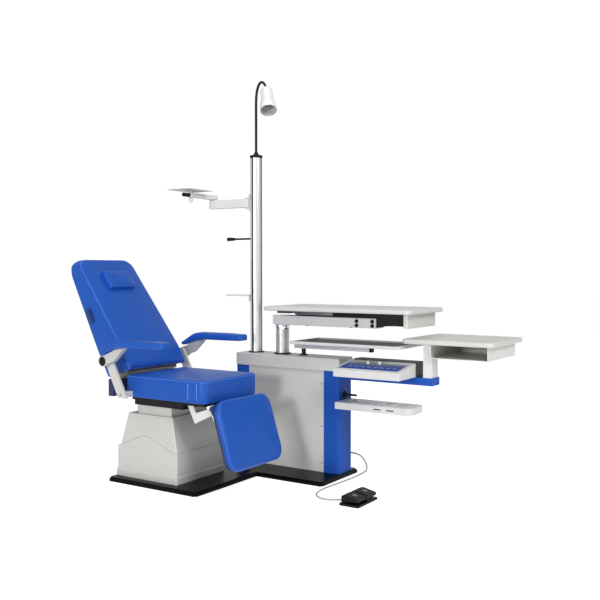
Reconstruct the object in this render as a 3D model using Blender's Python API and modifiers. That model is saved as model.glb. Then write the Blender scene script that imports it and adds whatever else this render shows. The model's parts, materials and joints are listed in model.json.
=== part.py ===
"""Ophthalmic refraction unit: reclining patient chair, instrument column, swinging tables.

Metres, +Z up. The origin is on the floor under the chair pedestal, +X is the way the patient
faces and +Y runs from the chair to the instrument column. Each object is one solid piece, and
each moving piece hangs from an empty on its joint axis.
"""

from math import cos, radians, sin

import bmesh
import bpy
from mathutils import Matrix, Vector

GAP = 0.0003                      # clearance between touching pieces

# Base plate and chair pedestal
BASE_TOP = 0.0245
BASE_OUTLINE = [(-0.256, -0.260), (0.411, -0.260), (0.411, 0.296), (0.865, 0.296),
                (0.865, 0.726), (-0.256, 0.726)]
COVER_BOTTOM = BASE_TOP + GAP
COVER_SHOULDER = 0.200            # height where the pedestal starts to taper
COVER_TOP = 0.393
COVER_WALL = 0.004
SEAM = [(-0.30, 0.205), (-0.22, 0.205), (-0.054, 0.271), (0.000, 0.271), (0.107, 0.230),
        (0.201, 0.197), (0.30, 0.197)]
SEAM_GAP = 0.0014
CHAIR_X = 0.0275                  # the lift and swivel axis, on Y = 0

# Chair
SEAT_LENGTH = (-0.110, 0.457)
SEAT_HALF_WIDTH = 0.240
SEAT_HEIGHT = (0.500, 0.630)
RECLINE_AXIS = (-0.170, 0.594)    # X, Z
BACK_LOW = (-0.1400, 0.7680)      # X, Z of the backrest's front face, low and high
BACK_HIGH = (-0.4930, 1.2300)
PILLOW_Z = 1.100
ARMREST_AXIS = (-0.180, 0.710)
LEGREST_AXIS = (0.483, 0.478)
LEGREST_TOP = (0.545, 0.525)
LEGREST_LENGTH = 0.3827
LEGREST_TILT = radians(72.51)     # below the horizontal

# Instrument stand
POST_Y = 0.590                    # every upright stands on this line
COLUMN_X = 0.1985
COLUMN_R = 0.0385
CAP_TOP = 0.706
LIFT_X = 0.3985
TRAY_X = 0.555
RIGHT_POST_X = 1.397
PROJECTOR_HINGE_X = 0.130
PROJECTOR_ELBOW_X = -0.145
PROJECTOR_PLATE_Y = 0.362

# Matrices that lay an outline drawn in X, Y and extruded along Z into each plane
PLANES = {"XY": Matrix.Identity(4),
          "XZ": Matrix(((1, 0, 0, 0), (0, 0, 1, 0), (0, 1, 0, 0), (0, 0, 0, 1))),
          "YZ": Matrix(((0, 0, 1, 0), (1, 0, 0, 0), (0, 1, 0, 0), (0, 0, 0, 1)))}


# ---------------------------------------------------------------- helpers

def clear_scene():
    for obj in list(bpy.data.objects):
        bpy.data.objects.remove(obj, do_unlink=True)
    for collection in list(bpy.data.collections):
        bpy.data.collections.remove(collection)


def material(name, colour, roughness=0.5, metallic=0.0):
    mat = bpy.data.materials.new(name)
    mat.use_nodes = True
    shader = mat.node_tree.nodes["Principled BSDF"]
    shader.inputs["Base Color"].default_value = (*colour, 1.0)
    shader.inputs["Roughness"].default_value = roughness
    shader.inputs["Metallic"].default_value = metallic
    mat.diffuse_color = (*colour, 1.0)
    return mat


def new_collection(name):
    collection = bpy.data.collections.new(name)
    bpy.context.scene.collection.children.link(collection)
    return collection


def link(name, data, finish):
    """An object in the unit's collection, or in the cutters' when it has no finish."""
    obj = bpy.data.objects.new(name, data)
    if finish:
        own = FINISHES[finish].copy()
        own.name = name
        data.materials.append(own)
        UNIT.objects.link(obj)
    else:
        obj.hide_render = True
        obj.display_type = "WIRE"
        CUTTERS.objects.link(obj)
    return obj


def from_bmesh(name, bm, finish, matrix=None):
    if matrix:
        bm.transform(matrix)
    bm.normal_update()
    bmesh.ops.recalc_face_normals(bm, faces=bm.faces)
    mesh = bpy.data.meshes.new(name)
    bm.to_mesh(mesh)
    bm.free()
    return link(name, mesh, finish)


def arc(centre, radius, start, end, steps):
    """Points on an arc; the angles are in degrees, and may fall as well as rise."""
    angles = [radians(start + (end - start) * i / steps) for i in range(steps + 1)]
    return [(centre[0] + radius * cos(a), centre[1] + radius * sin(a)) for a in angles]


def rectangle(x0, x1, y0, y1):
    return [(x0, y0), (x1, y0), (x1, y1), (x0, y1)]


def rounded(outline, radius, steps=3):
    """The outline with its corners rounded; radius is one number or one per corner."""
    radii = radius if isinstance(radius, (list, tuple)) else [radius] * len(outline)
    points = []
    for i, corner in enumerate(outline):
        here = Vector(corner)
        before = (Vector(outline[i - 1]) - here)
        after = (Vector(outline[(i + 1) % len(outline)]) - here)
        if radii[i] <= 0:
            points.append(tuple(here))
            continue
        before.normalize()
        after.normalize()
        half = before.angle(after) / 2
        cut_back = radii[i] * cos(half) / sin(half)
        for step in range(steps + 1):
            t = step / steps
            start = here + before * cut_back
            end = here + after * cut_back
            centre = here + (before + after).normalized() * (radii[i] / sin(half))
            arm = (start - centre) * (1 - t) + (end - centre) * t
            points.append(tuple(centre + arm.normalized() * radii[i]))
    return points


def to_mesh(curve_obj):
    """The curve's solid as a welded mesh with whole flat faces; the curve is removed."""
    bpy.context.scene.collection.objects.link(curve_obj)
    bpy.context.view_layer.update()
    graph = bpy.context.evaluated_depsgraph_get()
    mesh = bpy.data.meshes.new_from_object(curve_obj.evaluated_get(graph))
    bpy.data.objects.remove(curve_obj)
    bm = bmesh.new()
    bm.from_mesh(mesh)
    bpy.data.meshes.remove(mesh)
    bmesh.ops.remove_doubles(bm, verts=bm.verts, dist=0.00001)
    bmesh.ops.dissolve_limit(bm, angle_limit=radians(0.5), verts=bm.verts, edges=bm.edges)
    return bm


def extruded(name, outlines, half_height):
    """Flat outlines as a filled 2D curve with a thickness; an inner outline is a hole."""
    curve = bpy.data.curves.new(name, "CURVE")
    curve.dimensions = "2D"
    curve.fill_mode = "BOTH"
    curve.extrude = half_height
    for outline in outlines:
        spline = curve.splines.new("POLY")
        spline.points.add(len(outline) - 1)
        for point, (a, b) in zip(spline.points, outline):
            point.co = (a, b, 0, 1)
        spline.use_cyclic_u = True
    return to_mesh(bpy.data.objects.new(name, curve))


def prism(name, outline, plane, low, high, finish=None, edge=0.0, segments=1, top_only=False,
          matrix=None):
    """An outline in one plane, extruded from low to high, with its end edges bevelled."""
    half = (high - low) / 2
    bm = extruded(name, [outline], half)
    if edge:
        ends = [e for e in bm.edges if len({round(v.co.z, 5) for v in e.verts}) == 1
                and (e.verts[0].co.z > 0 or not top_only)]
        bmesh.ops.bevel(bm, geom=ends, offset=edge, segments=segments, profile=0.5,
                        affect="EDGES", clamp_overlap=True)
    bm.transform(PLANES[plane] @ Matrix.Translation((0, 0, low + half)))
    return from_bmesh(name, bm, finish, matrix)


def box(name, low, high, finish=None):
    size = Vector(high) - Vector(low)
    middle = (Vector(high) + Vector(low)) / 2
    bm = bmesh.new()
    place = Matrix.Translation(middle) @ Matrix.Diagonal((*size, 1))
    bmesh.ops.create_cube(bm, size=1, matrix=place)
    return from_bmesh(name, bm, finish)


def pipe(name, outer, inner, low, high, finish):
    """A straight tube along Z between two outlines."""
    half = (high - low) / 2
    bm = extruded(name, [outer, inner], half)
    bm.transform(Matrix.Translation((0, 0, low + half)))
    return from_bmesh(name, bm, finish)


def loft(name, sections, finish=None):
    """Flat rings with the same number of points, one above the other, closed at both ends."""
    bm = bmesh.new()
    rings = [[bm.verts.new(point) for point in section] for section in sections]
    for one, two in zip(rings, rings[1:]):
        for i in range(len(one)):
            j = (i + 1) % len(one)
            bm.faces.new((one[i], one[j], two[j], two[i]))
    bm.faces.new(rings[0])
    bm.faces.new(rings[-1])
    return from_bmesh(name, bm, finish)


def chamfered_ring(x0, x1, y0, y1, z, chamfer):
    c = chamfer
    corners = [(x0 + c, y0), (x1 - c, y0), (x1, y0 + c), (x1, y1 - c),
               (x1 - c, y1), (x0 + c, y1), (x0, y1 - c), (x0, y0 + c)]
    return [(x, y, z) for x, y in corners]


def turned(name, profile, finish=None, origin=(0, 0, 0), axis=(0, 0, 1), steps=24):
    """A closed profile of (radius, height) points spun round the axis at origin."""
    area = sum(r0 * h1 - r1 * h0 for (r0, h0), (r1, h1) in
               zip(profile, [*profile[1:], profile[0]]))
    if area > 0:
        profile = profile[::-1]
    mesh = bpy.data.meshes.new(name)
    mesh.from_pydata([(r, 0, h) for r, h in profile],
                     [(i, i + 1) for i in range(len(profile) - 1)], [])
    obj = link(name, mesh, finish)
    screw = obj.modifiers.new("Screw", "SCREW")
    screw.steps = steps
    screw.render_steps = steps
    screw.use_merge_vertices = True
    screw.merge_threshold = 0.00001
    turn = Vector((0, 0, 1)).rotation_difference(Vector(axis)).to_matrix().to_4x4()
    obj.matrix_world = Matrix.Translation(origin) @ turn
    return obj


def rod(name, start, end, radius, finish=None, steps=16):
    """A plain cylinder between two points."""
    along = Vector(end) - Vector(start)
    profile = [(0, along.length), (radius, along.length), (radius, 0), (0, 0)]
    return turned(name, profile, finish, start, along.normalized(), steps)


def smooth_route(points, spacing):
    """Catmull-Rom points through the given ones, about one spacing apart."""
    route = []
    padded = [points[0], *points, points[-1]]
    for i in range(1, len(padded) - 2):
        p0, p1, p2, p3 = (Vector(p) for p in padded[i - 1:i + 3])
        count = max(1, round((p2 - p1).length / spacing))
        for step in range(count):
            t = step / count
            route.append(0.5 * (2 * p1 + (p2 - p0) * t + (2 * p0 - 5 * p1 + 4 * p2 - p3) * t ** 2
                                + (3 * p1 - p0 - 3 * p2 + p3) * t ** 3))
    route.append(Vector(points[-1]))
    return route


def bent_rod(name, route, radius, finish):
    curve = bpy.data.curves.new(name, "CURVE")
    curve.dimensions = "3D"
    curve.bevel_depth = radius
    curve.bevel_resolution = 2
    curve.use_fill_caps = True
    spline = curve.splines.new("POLY")
    spline.points.add(len(route) - 1)
    for point, where in zip(spline.points, route):
        point.co = (*where, 1.0)
    return link(name, curve, finish)


def combine(obj, operation, *others):
    for other in others:
        step = obj.modifiers.new(other.name, "BOOLEAN")
        step.operation = operation
        step.solver = "EXACT"
        step.object = other
    return obj


def cut(obj, *others):
    return combine(obj, "DIFFERENCE", *others)


def join(obj, *others):
    return combine(obj, "UNION", *others)


def joint(name, where, *pieces, parent=None):
    """An empty on a joint axis that carries the pieces."""
    empty = bpy.data.objects.new(name, None)
    empty.empty_display_size = 0.05
    empty.location = where
    UNIT.objects.link(empty)
    if parent:
        hang(empty, parent)
    for piece in pieces:
        hang(piece, empty)
    return empty


def hang(obj, parent):
    bpy.context.view_layer.update()
    obj.parent = parent
    obj.matrix_parent_inverse = parent.matrix_world.inverted()


def mirrored(y0, y1, side):
    """A Y range on the near side (side -1) or on the far side (side 1)."""
    return (y0, y1) if side > 0 else (-y1, -y0)


# ---------------------------------------------------------------- base and pedestal

def build_pedestal():
    base = rounded(BASE_OUTLINE, [0.018, 0.018, 0, 0.018, 0.018, 0.018], 1)
    prism("base_plate", base, "XY", 0, BASE_TOP, "base", edge=0.011, top_only=True)

    def body(name, inset, low, top, finish=None):
        walls = [(-0.245, 0.223, -0.200, 0.230, low), (-0.245, 0.223, -0.200, 0.230, 0.062),
                 (-0.240, 0.218, -0.195, 0.225, 0.066),
                 (-0.239, 0.217, -0.194, 0.224, COVER_SHOULDER),
                 (-0.219, 0.214, -0.191, 0.216, COVER_SHOULDER + 0.004),
                 (-0.178, 0.162, -0.167, 0.172, top)]
        return loft(name, [chamfered_ring(x0 + inset, x1 - inset, y0 + inset, y1 - inset, z, 0.007)
                           for x0, x1, y0, y1, z in walls], finish)

    inside = body("pedestal_inside", COVER_WALL, COVER_BOTTOM - 0.01, COVER_TOP - COVER_WALL)
    above = prism("above_seam", [(-0.30, 0.50), *SEAM, (0.30, 0.50)], "XZ", -0.3, 0.3)
    below_line = [(x, z + SEAM_GAP) for x, z in SEAM]
    below = prism("below_seam", [(-0.30, -0.05), *below_line, (0.30, -0.05)], "XZ", -0.3, 0.3)
    mouth = box("sleeve_mouth", (-0.133, -0.158, 0.36), (0.152, 0.158, 0.42))
    cut(body("pedestal_lower_cover", 0, COVER_BOTTOM, COVER_TOP, "grey"), inside, above)
    cut(body("pedestal_upper_cover", 0, COVER_BOTTOM, COVER_TOP, "grey"), inside, below, mouth)

    def square(half):
        return rectangle(CHAIR_X - half, CHAIR_X + half, -half, half)

    pipe("lift_outer_mast", square(0.050), square(0.0455), COVER_BOTTOM, 0.360, "black")
    inner = pipe("lift_inner_mast", square(0.0445), square(0.0395), 0.070, 0.4447, "black")
    flange = box("lift_flange", (CHAIR_X - 0.1, -0.1, 0.4446), (CHAIR_X + 0.1, 0.1, 0.4497))
    join(inner, flange)
    sleeve = [(-0.100, -0.155), (0.149, -0.155), (0.149, 0.155), (-0.100, 0.155),
              (-0.130, 0.138), (-0.130, -0.138)]
    hollow = [(-0.099, -0.152), (0.146, -0.152), (0.146, 0.152), (-0.099, 0.152),
              (-0.127, 0.136), (-0.127, -0.136)]
    cover = prism("lift_sleeve_cover", sleeve, "XY", 0.205, 0.4444, "grey")
    cut(cover, prism("sleeve_hollow", hollow, "XY", 0.19, 0.4414),
        prism("mast_hole", square(0.0449), "XY", 0.43, 0.46))
    return joint("chair_lift", (CHAIR_X, 0, 0.36), inner, cover)


# ---------------------------------------------------------------- chair

def build_seat(lift):
    plate = box("seat_frame", (-0.105, -0.185, 0.450), (0.260, 0.185, 0.4990), "black")
    board = box("seat_board", (-0.090, -0.220, 0.485), (0.440, 0.220, 0.4997))
    riser = box("crossbar_riser", (-0.0995, -0.150, 0.480), (-0.066, 0.150, 0.510))
    bar = box("crossbar", (-0.100, -0.2997, 0.505), (-0.064, 0.2997, 0.537))
    arm = [(0.307, 0.492), (0.347, 0.492), (0.366, 0.443), (0.455, 0.472),
           *arc(LEGREST_AXIS, 0.015, 185, -55, 6), (0.480, 0.444), (0.360, 0.388)]
    ear = [(-0.098, 0.508), (-0.098, 0.534), (-0.1180, 0.541),
           *arc(RECLINE_AXIS, 0.0145, 20, 205, 6), (-0.135, 0.512)]
    extras = [board, riser, bar]
    for side, word in ((-1, "near"), (1, "far")):
        extras.append(prism("legrest_arm_" + word, arm, "XZ", *mirrored(0.196, 0.204, side)))
        extras.append(prism("recline_ear_" + word, ear, "XZ", *mirrored(0.140, 0.148, side)))
    join(plate, *extras)
    cut(plate, rod("legrest_pin_hole", (LEGREST_AXIS[0], -0.23, LEGREST_AXIS[1]),
                   (LEGREST_AXIS[0], 0.23, LEGREST_AXIS[1]), 0.0056),
        rod("recline_pin_hole", (RECLINE_AXIS[0], -0.2, RECLINE_AXIS[1]),
            (RECLINE_AXIS[0], 0.2, RECLINE_AXIS[1]), 0.0066))

    seat = rounded(rectangle(*SEAT_LENGTH, -SEAT_HALF_WIDTH, SEAT_HALF_WIDTH),
                   [0.012, 0.040, 0.040, 0.012], 4)
    cushion = prism("seat_cushion", seat, "XY", *SEAT_HEIGHT, "blue", edge=0.010, segments=2)
    cut(cushion, box("crossbar_notch", (-0.20, -0.30, 0.40), (-0.058, 0.30, 0.541)))

    upright = [(-0.108, 0.503), (-0.043, 0.503), *arc(ARMREST_AXIS, 0.028, 27, 207, 8)]
    uprights = [prism("armrest_upright_" + word, upright, "XZ", *mirrored(0.300, 0.318, side),
                      "grey", edge=0.002) for side, word in ((-1, "near"), (1, "far"))]
    return joint("chair_swivel", (CHAIR_X, 0, 0.45), plate, cushion, *uprights, parent=lift)


def build_backrest(seat):
    profile = [(-0.1400, 0.6480), (-0.0890, 0.6540), (-0.0800, 0.6630), BACK_LOW, BACK_HIGH,
               (-0.5150, 1.2680), (-0.5380, 1.2860), (-0.5700, 1.2760), (-0.5900, 1.2500),
               (-0.5850, 1.1900), (-0.3550, 0.7550), (-0.2620, 0.6000)]
    cushion = prism("backrest_cushion", profile, "XZ", -0.240, 0.240, "blue",
                    edge=0.010, segments=2)
    front = [(-0.224, 0.55), (0.224, 0.55), (0.240, 0.615), (0.240, 0.86), (0.2175, 1.205),
             *arc((0.1465, 1.222), 0.069, 0, 90, 5),
             *arc((-0.1465, 1.222), 0.069, 90, 180, 5), (-0.2175, 1.205),
             (-0.240, 0.86), (-0.240, 0.615)]
    combine(cushion, "INTERSECT", prism("backrest_outline", front, "YZ", -0.7, 0.1))

    strip = [(-0.2622, 0.5955), (-0.1402, 0.6455), (-0.1327, 0.6272), (-0.2547, 0.5772)]
    frame = prism("backrest_frame", strip, "XZ", -0.210, 0.210, "grey")
    apron = prism("backrest_apron", [(-0.275, 0.49), (-0.275, 0.585), (-0.262, 0.592),
                                     (-0.2355, 0.600), (-0.2355, 0.49)], "XZ", -0.225, 0.225)
    lug = [(-0.200, 0.603), (-0.150, 0.624), *arc(RECLINE_AXIS, 0.0145, 10, -190, 7)]
    axis_x, axis_z = RECLINE_AXIS
    extras = [apron]
    for side, word in ((-1, "near"), (1, "far")):
        extras.append(prism("recline_lug_" + word, lug, "XZ", *mirrored(0.1486, 0.1566, side)))
        extras.append(rod("recline_pin_" + word, (axis_x, side * 0.130, axis_z),
                          (axis_x, side * 0.155, axis_z), 0.006))
    join(frame, *extras)

    slope = Vector(BACK_HIGH) - Vector(BACK_LOW)
    along = slope.normalized()
    across = Vector((along.y, -along.x))
    corner = Vector(BACK_LOW) + slope * (PILLOW_Z - BACK_LOW[1]) / slope.y + across * 0.0005
    outline = [(0, 0), (0.124, 0), (0.132, 0.018), (0.118, 0.040), (0.080, 0.045),
               (0.025, 0.044), (0.002, 0.034)]
    points = [tuple(corner + along * a + across * b) for a, b in outline]
    pillow = prism("head_pillow", points, "XZ", -0.105, 0.105, "blue", edge=0.010, segments=2)
    joint("backrest_recline", (axis_x, 0, axis_z), frame, cushion, pillow, parent=seat)


def build_armrests(seat):
    bracket = [*arc(ARMREST_AXIS, 0.031, 205, 327, 6), (-0.100, 0.712), (-0.018, 0.7892),
               (-0.078, 0.7842), (-0.1625, 0.7470), *arc(ARMREST_AXIS, 0.031, 110, 160, 2)]
    pad = [(-0.190, 0.765), (-0.178, 0.754), (-0.165, 0.7515), (-0.082, 0.788),
           (-0.017, 0.7928), (0.270, 0.7950), (0.290, 0.7990), (0.300, 0.8100),
           (0.300, 0.8230), (0.290, 0.8340), (0.270, 0.8360), (-0.035, 0.8360),
           (-0.090, 0.8280), (-0.128, 0.8040), (-0.184, 0.7760)]
    for side, word in ((-1, "near"), (1, "far")):
        holder = prism("armrest_bracket_" + word, bracket, "XZ", *mirrored(0.325, 0.361, side),
                       "grey", edge=0.003)
        washer = rod("armrest_washer_" + word, (ARMREST_AXIS[0], side * 0.3183, ARMREST_AXIS[1]),
                     (ARMREST_AXIS[0], side * 0.330, ARMREST_AXIS[1]), 0.019)
        join(holder, washer)
        cushion = prism("armrest_pad_" + word, pad, "XZ", *mirrored(0.305, 0.385, side),
                        "blue", edge=0.009, segments=2)
        joint("armrest_hinge_" + word, (ARMREST_AXIS[0], side * 0.345, ARMREST_AXIS[1]),
              holder, cushion, parent=seat)


def build_legrest(seat):
    u = Vector((cos(LEGREST_TILT), 0, -sin(LEGREST_TILT)))
    n = Vector((sin(LEGREST_TILT), 0, cos(LEGREST_TILT)))
    place = Matrix(((u.x, 0, n.x, LEGREST_TOP[0]), (0, 1, 0, 0),
                    (u.z, 0, n.z, LEGREST_TOP[1]), (0, 0, 0, 1)))
    outline = rounded(rectangle(0, LEGREST_LENGTH, -0.240, 0.240), 0.060, 4)
    inner = rounded(rectangle(0.004, LEGREST_LENGTH - 0.004, -0.236, 0.236), 0.056, 4)
    cushion = prism("legrest_cushion", outline, "XY", -0.0427, 0, "blue", edge=0.010, segments=2,
                    matrix=place)
    board = prism("legrest_board", inner, "XY", -0.055, -0.043, "navy", matrix=place)
    lug = [(0.060, -0.050), (0.060, -0.0545), *arc((0.0262, -0.0733), 0.015, -10, -180, 6),
           (0.0105, -0.0545), (0.0105, -0.050)]
    axis_x, axis_z = LEGREST_AXIS
    extras = []
    for side, word in ((-1, "near"), (1, "far")):
        extras.append(prism("legrest_lug_" + word, lug, "XZ", *mirrored(0.2046, 0.2126, side),
                            matrix=place))
        extras.append(rod("legrest_pin_" + word, (axis_x, side * 0.188, axis_z),
                          (axis_x, side * 0.210, axis_z), 0.005))
    join(board, *extras)
    joint("legrest_hinge", (axis_x, 0, axis_z), board, cushion, parent=seat)


# ---------------------------------------------------------------- cabinet and column

def build_cabinet():
    left = rectangle(0.104, 0.197, 0.512, 0.663)
    left_inner = rectangle(0.107, 0.194, 0.515, 0.660)
    pipe("cabinet_left_column", left, left_inner, COVER_BOTTOM, 0.7017, "blue")
    right = rounded(rectangle(0.745, 0.851, 0.512, 0.663), [0.002, 0.014, 0.014, 0.002], 3)
    right_inner = rounded(rectangle(0.748, 0.848, 0.515, 0.660), [0.002, 0.011, 0.011, 0.002], 3)
    pipe("cabinet_right_column", right, right_inner, COVER_BOTTOM, 0.7017, "blue")
    box("cabinet_front_panel", (0.1973, 0.5135, COVER_BOTTOM), (0.7447, 0.5175, 0.7017), "grey")
    box("cabinet_rear_panel", (0.1973, 0.6575, COVER_BOTTOM), (0.7447, 0.6615, 0.7017), "grey")
    cap = prism("cabinet_cap", rounded(rectangle(0.101, 0.854, 0.500, 0.675), 0.012, 3), "XY",
                0.632, CAP_TOP, "grey", edge=0.006, segments=2, top_only=True)
    cut(cap, prism("cap_hollow", rounded(rectangle(0.1037, 0.8513, 0.503, 0.672), 0.010, 3),
                   "XY", 0.60, 0.702),
        rod("lift_hole", (LIFT_X, POST_Y, 0.68), (LIFT_X, POST_Y, 0.72), 0.0425, steps=32))
    guide = [(0.060, 0.7017), (0.060, 0.696), (0.048, 0.696), (0.048, 0.300), (0.0425, 0.300),
             (0.0425, 0.7017), (0.060, 0.7017)]
    turned("table_lift_guide", guide, "black", (LIFT_X, POST_Y, 0), steps=32)

    # The extrusion has a slot with an undercut on each of its four sides.
    section = []
    for turn in (0, 90, 180, 270):
        c, s = cos(radians(turn)), sin(radians(turn))
        slot = [(0.0381, -0.0050), (0.0350, -0.0050), (0.0350, -0.0085), (0.0285, -0.0085),
                (0.0285, 0.0085), (0.0350, 0.0085), (0.0350, 0.0050), (0.0381, 0.0050)]
        section += [(x * c - y * s, x * s + y * c) for x, y in slot]
        section += arc((0, 0), COLUMN_R, turn + 12, turn + 78, 6)
    section = [(COLUMN_X + x, POST_Y + y) for x, y in section]
    prism("instrument_column", section, "XY", CAP_TOP + GAP, 1.9250, "aluminium")
    top = [(0, 1.9660), (0.0085, 1.9660), (0.0115, 1.9600), (0.0205, 1.9435), (0.0380, 1.9430),
           (0.0400, 1.9410), (0.0400, 1.9253), (0, 1.9253)]
    turned("column_top_cap", top, "black", (COLUMN_X, POST_Y, 0), steps=32)

    holder = prism("column_holder", rounded(rectangle(-0.030, 0.1597, 0.560, 0.620),
                                            [0.012, 0.001, 0.001, 0.012], 2), "XY",
                   1.058, 1.067, "light")
    join(holder, box("holder_bracket", (0.1517, 0.572, 1.027), (0.1597, 0.608, 1.0655)))
    grip = [(0, 0.1900), (0.0100, 0.1895), (0.0122, 0.1850), (0.0095, 0.1320), (0.0060, 0.1290),
            (0.0060, 0.0060), (0.0110, 0.0050), (0.0110, 0.0000), (0, 0)]
    lever = turned("column_lever", grip, "black", (COLUMN_X - COLUMN_R - GAP, POST_Y, 1.4215),
                   (-1, 0, 0), 16)
    joint("lever_turn", (0.1597, POST_Y, 1.4215), lever)


def build_lamp():
    points = [(0.1985, 0.590, 1.9663), (0.1985, 0.590, 2.060), (0.1985, 0.590, 2.160),
              (0.1985, 0.590, 2.240), (0.2005, 0.589, 2.300), (0.2130, 0.583, 2.350),
              (0.2390, 0.570, 2.3815), (0.2690, 0.555, 2.3850), (0.2970, 0.541, 2.3690),
              (0.3180, 0.5300, 2.3423)]
    neck = bent_rod("gooseneck", smooth_route(points, 0.020), 0.0085, "black")
    axis = Vector((0.373, -0.388, -0.842)).normalized()
    start = Vector(points[-1]) + axis * 0.0028
    outer = [(0, 0), (0.0100, 0), (0.0140, 0.006), (0.0320, 0.016), (0.0370, 0.026),
             (0.0380, 0.034), (0.0380, 0.088), (0.0405, 0.104), (0.0470, 0.128),
             (0.0505, 0.150), (0.0515, 0.170), (0.0515, 0.186)]
    inner = [(0.0495, 0.186), (0.0495, 0.170), (0.0485, 0.150), (0.0450, 0.129),
             (0.0385, 0.105), (0.0360, 0.089), (0.0360, 0.034), (0.0300, 0.020), (0, 0.020)]
    shade = turned("lamp_shade", outer + inner, "white", start, axis, 32)
    bulb = [(0, 0.0203), (0.0130, 0.0203), (0.0130, 0.048), (0.0180, 0.062), (0.0290, 0.092),
            (0.0320, 0.112), (0.0280, 0.128), (0.0150, 0.137), (0, 0.139)]
    lamp = turned("lamp_bulb", bulb, "bulb", start, axis, 20)
    joint("lamp_swivel", (COLUMN_X, POST_Y, 1.9663), neck, shade, lamp)


def build_projector():
    hinge = (PROJECTOR_HINGE_X, POST_Y)
    elbow = (PROJECTOR_ELBOW_X, POST_Y)
    bracket = box("projector_bracket", (0.1515, 0.573, 1.597), (0.1597, 0.607, 1.704), "light")
    lug = [(0.1550, 0.573), (0.1550, 0.607), *arc(hinge, 0.017, 90, 270, 8)]
    join(bracket, prism("bracket_lug_low", lug, "XY", 1.6110, 1.6190),
         prism("bracket_lug_high", lug, "XY", 1.6760, 1.6830),
         rod("bracket_pin", (*hinge, 1.6150), (*hinge, 1.6800), 0.006))
    lower_outline = arc(hinge, 0.0195, -85, 85, 8) + arc(elbow, 0.028, 92, 268, 8)
    lower = prism("projector_arm_lower", lower_outline, "XY", 1.6200, 1.6750, "light", edge=0.002)
    cut(lower, rod("hinge_hole", (*hinge, 1.60), (*hinge, 1.70), 0.0066))

    end = (PROJECTOR_ELBOW_X, PROJECTOR_PLATE_Y)
    upper_outline = (arc(elbow, 0.028, -2, 182, 8)
                     + [(elbow[0] - 0.022, 0.3540), (elbow[0] - 0.016, 0.3480),
                        (elbow[0] + 0.016, 0.3480), (elbow[0] + 0.022, 0.3540)])
    upper = prism("projector_arm_upper", upper_outline, "XY", 1.6800, 1.7080, "light", edge=0.002)
    ball = [(0, 1.6900), (0.0070, 1.6900), (0.0070, 1.6760), (0.0130, 1.6720), (0.0160, 1.6640),
            (0.0130, 1.6540), (0.0070, 1.6490), (0, 1.6480)]
    join(upper, rod("elbow_boss", (*elbow, 1.6753), (*elbow, 1.6900), 0.022, steps=20),
         turned("stop_ball", ball, None, (*end, 0), steps=16))
    plate = prism("projector_plate", rounded(rectangle(-0.225, -0.045, 0.225, 0.465), 0.008, 1),
                  "XY", 1.7205, 1.7245, "grey")
    join(plate, rod("plate_stem", (*end, 1.7083), (*end, 1.7220), 0.012))
    knob = rod("projector_knob", (end[0], 0.3477, 1.6940), (end[0], 0.2920, 1.6940), 0.0125,
               "black")
    low = joint("projector_hinge_low", (*hinge, 1.62), lower)
    high = joint("projector_hinge_high", (*elbow, 1.675), upper, parent=low)
    joint("projector_plate_swivel", (*end, 1.708), plate, parent=high)
    joint("projector_knob_turn", (end[0], 0.3477, 1.694), knob, parent=high)


# ---------------------------------------------------------------- tables

def build_instrument_table():
    tube = [(0.0380, 0.8887), (0.0443, 0.8880), (0.0443, 0.8610), (0.0415, 0.8600),
            (0.0415, 0.4500), (0.0380, 0.4500), (0.0380, 0.8887)]
    lift_tube = turned("table_lift_tube", tube, "aluminium", (LIFT_X, POST_Y, 0), steps=32)
    outline = [*arc((0.385, POST_Y), 0.050, 90, 270, 8), (1.077, 0.540), (1.077, 0.640)]
    arm = prism("table_arm", outline, "XY", 0.8890, 0.9460, "light", edge=0.003)
    cut(arm, box("arm_channel", (0.452, 0.545, 0.894), (1.2, 0.635, 1.0)))
    beam = [(0.530, 0.8955), (1.085, 0.8955), (1.115, 0.9005), (1.150, 0.9045), (1.200, 0.9060),
            (1.250, 0.9050), (1.3017, 0.9010), (1.3017, 0.9827), (0.530, 0.9827)]
    slide = prism("table_slide_beam", beam, "XZ", 0.5465, 0.6335, "black")
    top = prism("table_top", rounded(rectangle(0.406, 1.376, 0.360, 0.820), 0.030, 4), "XY",
                0.9830, 1.0080, "light", edge=0.007, segments=2)
    apron = prism("table_apron", rounded(rectangle(1.302, 1.330, 0.430, 0.800), 0.006, 2), "XY",
                  0.9020, 0.9827, "light")
    lift = joint("table_lift", (LIFT_X, POST_Y, 0.70), lift_tube)
    swing = joint("table_swing", (LIFT_X, POST_Y, 0.889), arm, parent=lift)
    joint("table_slide", (0.530, POST_Y, 0.895), slide, top, apron, parent=swing)


def build_tray():
    post = [(0, 0.7467), (0.0135, 0.7467), (0.0135, 0.7123), (0.0270, 0.7110), (0.0270, 0.7063),
            (0, 0.7063)]
    turned("tray_post", post, "black", (TRAY_X, POST_Y, 0))
    bar = box("tray_bar", (0.495, 0.575, 0.747), (1.015, 0.605, 0.769), "aluminium")
    tray = prism("tray_table", rounded(rectangle(0.545, 1.270, 0.438, 0.780), 0.020, 3), "XY",
                 0.7835, 0.8010, "light", edge=0.004, segments=2)
    recess = rounded(rectangle(0.565, 1.250, 0.458, 0.760), 0.012, 2)
    join(tray, box("tray_runner", (0.600, 0.578, 0.7693), (0.990, 0.602, 0.7850)))
    cut(tray, prism("tray_recess", recess, "XY", 0.790, 0.81))
    swing = joint("tray_swing", (TRAY_X, POST_Y, 0.747), bar)
    joint("tray_slide", (TRAY_X, POST_Y, 0.769), tray, parent=swing)


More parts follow.
